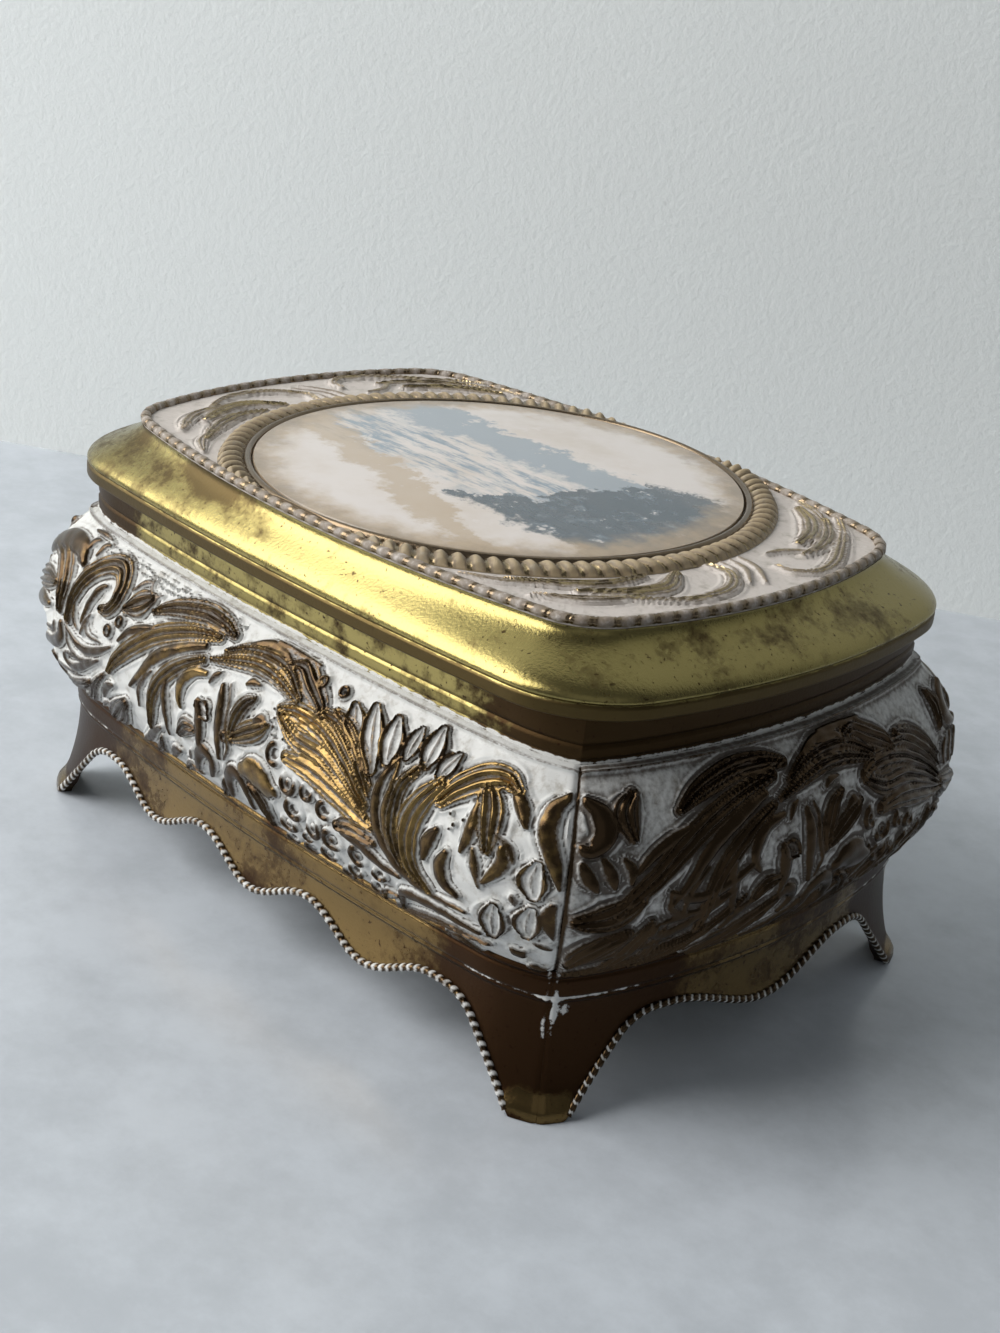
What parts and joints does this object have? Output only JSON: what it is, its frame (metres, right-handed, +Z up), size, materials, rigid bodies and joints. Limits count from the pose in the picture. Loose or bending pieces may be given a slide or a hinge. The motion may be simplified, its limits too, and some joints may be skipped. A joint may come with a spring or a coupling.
{
  "type": "trinket box",
  "caption": "Footed trinket box of pressed metal with swelling relief walls, a scalloped skirt and a hinged coved lid set with a round picture in a rope border.",
  "frame": {"origin": "on the table under the middle of the box", "axes": "+Z up, +X along the length, front of the box towards -Y, hinge at +Y"},
  "size_m": [0.1494, 0.1056, 0.0737],
  "materials": {
    "panel_gilt": "brass plate, browned, with white wash rubbed into the relief",
    "lid_brass": "polished brass plate, tarnished in specks",
    "plate_wash": "white wash over gilt relief",
    "rope_gilt": "gilt with white wash between the strands",
    "picture": "worn printed disc under clear gloss",
    "card": "plain card",
    "velvet": "short-pile velvet",
    "tinplate": "plain tinned sheet",
    "hinge_brass": "drawn brass"
  },
  "bodies": {
    "base": {"front_panel": "panel_gilt", "right_panel": "panel_gilt", "back_panel": "panel_gilt", "left_panel": "panel_gilt", "corner_clips": "tinplate", "bottom_plate": "tinplate", "floor_pad": "velvet", "front_lining": "velvet", "right_lining": "velvet", "back_lining": "velvet", "left_lining": "velvet", "hinge_base_leaf": "hinge_brass", "hinge_base_rivets": "hinge_brass", "hinge_pin": "hinge_brass"},
    "lid": {"lid_frame": "lid_brass", "top_plate": "plate_wash", "rope_bezel": "rope_gilt", "picture_disc": "picture", "backing_card": "card", "lid_board": "card", "lid_pad": "velvet", "hinge_lid_leaf": "hinge_brass", "hinge_lid_rivets": "hinge_brass"}
  },
  "joints": [
    {"name": "lid_hinge", "type": "hinge", "parent": "base", "child": "lid", "pos_m": [0, 0.04433, 0.0596], "axis": [-1, 0, 0], "range_deg": [0, 100]}
  ]
}
